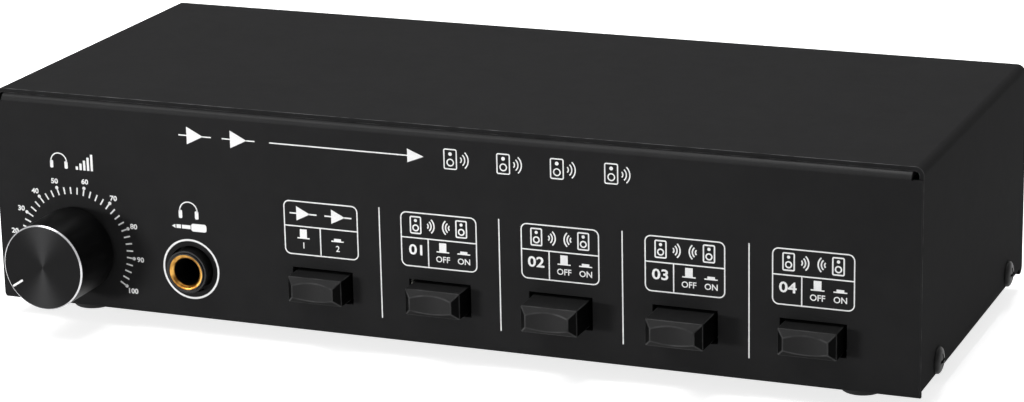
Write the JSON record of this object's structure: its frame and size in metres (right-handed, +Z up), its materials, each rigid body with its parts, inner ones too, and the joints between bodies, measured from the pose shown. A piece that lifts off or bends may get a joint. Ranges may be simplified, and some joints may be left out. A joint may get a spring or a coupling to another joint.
{
  "type": "speaker selector switch",
  "caption": "Flat black metal box with a volume knob, a headphone socket and a row of latching push buttons in front, and spring wire terminals behind.",
  "frame": {"origin": "centre of the bounding box, at the bottom, on the surface that the feet stand on", "axes": "+X to the right seen from the front, +Y from the front panel to the terminals behind, +Z up"},
  "size_m": [0.2288, 0.1216, 0.056],
  "materials": {
    "case_paint": "fine textured black powder coat",
    "screw_black": "black oxide",
    "knob_metal": "black anodised, spun face",
    "steel": "nickel plated",
    "jack_plastic": "satin",
    "gold": "gold plated",
    "button_plastic": "satin",
    "switch_plastic": "matt",
    "plunger_plastic": "matt",
    "board_laminate": "solder mask",
    "resistor_ceramic": "matt",
    "terminal_plastic": "satin",
    "lever_red": "satin gloss",
    "lever_black": "satin gloss",
    "foot_rubber": "matt",
    "nylon": "matt",
    "panel_ink": "screen printed on the case"
  },
  "bodies": {
    "case": {"chassis": "case_paint", "top_cover": "case_paint", "cover_screws": "screw_black", "volume_body": "steel", "volume_nut_and_washer": "steel", "jack_body": "jack_plastic", "jack_sleeve": "gold", "push_switches": "switch_plastic", "main_board": "board_laminate", "terminal_board": "board_laminate", "standoffs": "nylon", "headphone_resistors": "resistor_ceramic", "terminal_contacts": "steel", "foot_1": "foot_rubber", "foot_2": "foot_rubber", "foot_3": "foot_rubber", "foot_4": "foot_rubber", "terminal_block_a": "terminal_plastic", "terminal_block_b": "terminal_plastic", "terminal_block_c": "terminal_plastic"},
    "volume_knob": {"knob": "knob_metal", "knob_grub_screw": "steel", "volume_shaft": "steel"},
    "push_button_1": {"button_1": "button_plastic", "plunger_1": "plunger_plastic"},
    "push_button_2": {"button_2": "button_plastic", "plunger_2": "plunger_plastic"},
    "push_button_3": {"button_3": "button_plastic", "plunger_3": "plunger_plastic"},
    "push_button_4": {"button_4": "button_plastic", "plunger_4": "plunger_plastic"},
    "push_button_5": {"button_5": "button_plastic", "plunger_5": "plunger_plastic"},
    "push_lever_a1": {"lever_a1": "lever_red"},
    "push_lever_a2": {"lever_a2": "lever_black"},
    "push_lever_a3": {"lever_a3": "lever_red"},
    "push_lever_a4": {"lever_a4": "lever_black"},
    "push_lever_a5": {"lever_a5": "lever_red"},
    "push_lever_a6": {"lever_a6": "lever_black"},
    "push_lever_a7": {"lever_a7": "lever_red"},
    "push_lever_a8": {"lever_a8": "lever_black"},
    "push_lever_b1": {"lever_b1": "lever_red"},
    "push_lever_b2": {"lever_b2": "lever_black"},
    "push_lever_b3": {"lever_b3": "lever_red"},
    "push_lever_b4": {"lever_b4": "lever_black"},
    "push_lever_b5": {"lever_b5": "lever_red"},
    "push_lever_b6": {"lever_b6": "lever_black"},
    "push_lever_b7": {"lever_b7": "lever_red"},
    "push_lever_b8": {"lever_b8": "lever_black"},
    "push_lever_c1": {"lever_c1": "lever_red"},
    "push_lever_c2": {"lever_c2": "lever_black"},
    "push_lever_c3": {"lever_c3": "lever_red"},
    "push_lever_c4": {"lever_c4": "lever_black"},
    "push_lever_c5": {"lever_c5": "lever_red"},
    "push_lever_c6": {"lever_c6": "lever_black"},
    "push_lever_c7": {"lever_c7": "lever_red"},
    "push_lever_c8": {"lever_c8": "lever_black"}
  },
  "joints": [
    {"name": "volume_turn", "type": "hinge", "parent": "case", "child": "volume_knob", "pos_m": [-0.0924, -0.0525, 0.0186], "axis": [0, 1, 0], "range_deg": [0, 245]},
    {"name": "button_1_press", "type": "slide", "parent": "case", "child": "push_button_1", "axis": [0, 1, 0], "range_m": [-0.003, 0.0006]},
    {"name": "button_2_press", "type": "slide", "parent": "case", "child": "push_button_2", "axis": [0, 1, 0], "range_m": [-0.003, 0.0006]},
    {"name": "button_3_press", "type": "slide", "parent": "case", "child": "push_button_3", "axis": [0, 1, 0], "range_m": [0, 0.0036]},
    {"name": "button_4_press", "type": "slide", "parent": "case", "child": "push_button_4", "axis": [0, 1, 0], "range_m": [0, 0.0036]},
    {"name": "button_5_press", "type": "slide", "parent": "case", "child": "push_button_5", "axis": [0, 1, 0], "range_m": [-0.003, 0.0006]},
    {"name": "lever_a1_push", "type": "hinge", "parent": "case", "child": "push_lever_a1", "pos_m": [-0.08805, 0.04825, 0.0441], "axis": [-1, 0, 0], "range_deg": [0, 14], "stiffness_Nm_per_rad": 0.02, "springref_deg": -8.59},
    {"name": "lever_a2_push", "type": "hinge", "parent": "case", "child": "push_lever_a2", "pos_m": [-0.07535, 0.04825, 0.0441], "axis": [-1, 0, 0], "range_deg": [0, 14], "stiffness_Nm_per_rad": 0.02, "springref_deg": -8.59},
    {"name": "lever_a3_push", "type": "hinge", "parent": "case", "child": "push_lever_a3", "pos_m": [-0.06265, 0.04825, 0.0441], "axis": [-1, 0, 0], "range_deg": [0, 14], "stiffness_Nm_per_rad": 0.02, "springref_deg": -8.59},
    {"name": "lever_a4_push", "type": "hinge", "parent": "case", "child": "push_lever_a4", "pos_m": [-0.04995, 0.04825, 0.0441], "axis": [-1, 0, 0], "range_deg": [0, 14], "stiffness_Nm_per_rad": 0.02, "springref_deg": -8.59},
    {"name": "lever_a5_push", "type": "hinge", "parent": "case", "child": "push_lever_a5", "pos_m": [-0.08805, 0.04825, 0.0241], "axis": [-1, 0, 0], "range_deg": [0, 14], "stiffness_Nm_per_rad": 0.02, "springref_deg": -8.59},
    {"name": "lever_a6_push", "type": "hinge", "parent": "case", "child": "push_lever_a6", "pos_m": [-0.07535, 0.04825, 0.0241], "axis": [-1, 0, 0], "range_deg": [0, 14], "stiffness_Nm_per_rad": 0.02, "springref_deg": -8.59},
    {"name": "lever_a7_push", "type": "hinge", "parent": "case", "child": "push_lever_a7", "pos_m": [-0.06265, 0.04825, 0.0241], "axis": [-1, 0, 0], "range_deg": [0, 14], "stiffness_Nm_per_rad": 0.02, "springref_deg": -8.59},
    {"name": "lever_a8_push", "type": "hinge", "parent": "case", "child": "push_lever_a8", "pos_m": [-0.04995, 0.04825, 0.0241], "axis": [-1, 0, 0], "range_deg": [0, 14], "stiffness_Nm_per_rad": 0.02, "springref_deg": -8.59},
    {"name": "lever_b1_push", "type": "hinge", "parent": "case", "child": "push_lever_b1", "pos_m": [-0.01905, 0.04825, 0.0441], "axis": [-1, 0, 0], "range_deg": [0, 14], "stiffness_Nm_per_rad": 0.02, "springref_deg": -8.59},
    {"name": "lever_b2_push", "type": "hinge", "parent": "case", "child": "push_lever_b2", "pos_m": [-0.00635, 0.04825, 0.0441], "axis": [-1, 0, 0], "range_deg": [0, 14], "stiffness_Nm_per_rad": 0.02, "springref_deg": -8.59},
    {"name": "lever_b3_push", "type": "hinge", "parent": "case", "child": "push_lever_b3", "pos_m": [0.00635, 0.04825, 0.0441], "axis": [-1, 0, 0], "range_deg": [0, 14], "stiffness_Nm_per_rad": 0.02, "springref_deg": -8.59},
    {"name": "lever_b4_push", "type": "hinge", "parent": "case", "child": "push_lever_b4", "pos_m": [0.01905, 0.04825, 0.0441], "axis": [-1, 0, 0], "range_deg": [0, 14], "stiffness_Nm_per_rad": 0.02, "springref_deg": -8.59},
    {"name": "lever_b5_push", "type": "hinge", "parent": "case", "child": "push_lever_b5", "pos_m": [-0.01905, 0.04825, 0.0241], "axis": [-1, 0, 0], "range_deg": [0, 14], "stiffness_Nm_per_rad": 0.02, "springref_deg": -8.59},
    {"name": "lever_b6_push", "type": "hinge", "parent": "case", "child": "push_lever_b6", "pos_m": [-0.00635, 0.04825, 0.0241], "axis": [-1, 0, 0], "range_deg": [0, 14], "stiffness_Nm_per_rad": 0.02, "springref_deg": -8.59},
    {"name": "lever_b7_push", "type": "hinge", "parent": "case", "child": "push_lever_b7", "pos_m": [0.00635, 0.04825, 0.0241], "axis": [-1, 0, 0], "range_deg": [0, 14], "stiffness_Nm_per_rad": 0.02, "springref_deg": -8.59},
    {"name": "lever_b8_push", "type": "hinge", "parent": "case", "child": "push_lever_b8", "pos_m": [0.01905, 0.04825, 0.0241], "axis": [-1, 0, 0], "range_deg": [0, 14], "stiffness_Nm_per_rad": 0.02, "springref_deg": -8.59},
    {"name": "lever_c1_push", "type": "hinge", "parent": "case", "child": "push_lever_c1", "pos_m": [0.04995, 0.04825, 0.0441], "axis": [-1, 0, 0], "range_deg": [0, 14], "stiffness_Nm_per_rad": 0.02, "springref_deg": -8.59},
    {"name": "lever_c2_push", "type": "hinge", "parent": "case", "child": "push_lever_c2", "pos_m": [0.06265, 0.04825, 0.0441], "axis": [-1, 0, 0], "range_deg": [0, 14], "stiffness_Nm_per_rad": 0.02, "springref_deg": -8.59},
    {"name": "lever_c3_push", "type": "hinge", "parent": "case", "child": "push_lever_c3", "pos_m": [0.07535, 0.04825, 0.0441], "axis": [-1, 0, 0], "range_deg": [0, 14], "stiffness_Nm_per_rad": 0.02, "springref_deg": -8.59},
    {"name": "lever_c4_push", "type": "hinge", "parent": "case", "child": "push_lever_c4", "pos_m": [0.08805, 0.04825, 0.0441], "axis": [-1, 0, 0], "range_deg": [0, 14], "stiffness_Nm_per_rad": 0.02, "springref_deg": -8.59},
    {"name": "lever_c5_push", "type": "hinge", "parent": "case", "child": "push_lever_c5", "pos_m": [0.04995, 0.04825, 0.0241], "axis": [-1, 0, 0], "range_deg": [0, 14], "stiffness_Nm_per_rad": 0.02, "springref_deg": -8.59},
    {"name": "lever_c6_push", "type": "hinge", "parent": "case", "child": "push_lever_c6", "pos_m": [0.06265, 0.04825, 0.0241], "axis": [-1, 0, 0], "range_deg": [0, 14], "stiffness_Nm_per_rad": 0.02, "springref_deg": -8.59},
    {"name": "lever_c7_push", "type": "hinge", "parent": "case", "child": "push_lever_c7", "pos_m": [0.07535, 0.04825, 0.0241], "axis": [-1, 0, 0], "range_deg": [0, 14], "stiffness_Nm_per_rad": 0.02, "springref_deg": -8.59},
    {"name": "lever_c8_push", "type": "hinge", "parent": "case", "child": "push_lever_c8", "pos_m": [0.08805, 0.04825, 0.0241], "axis": [-1, 0, 0], "range_deg": [0, 14], "stiffness_Nm_per_rad": 0.02, "springref_deg": -8.59}
  ]
}
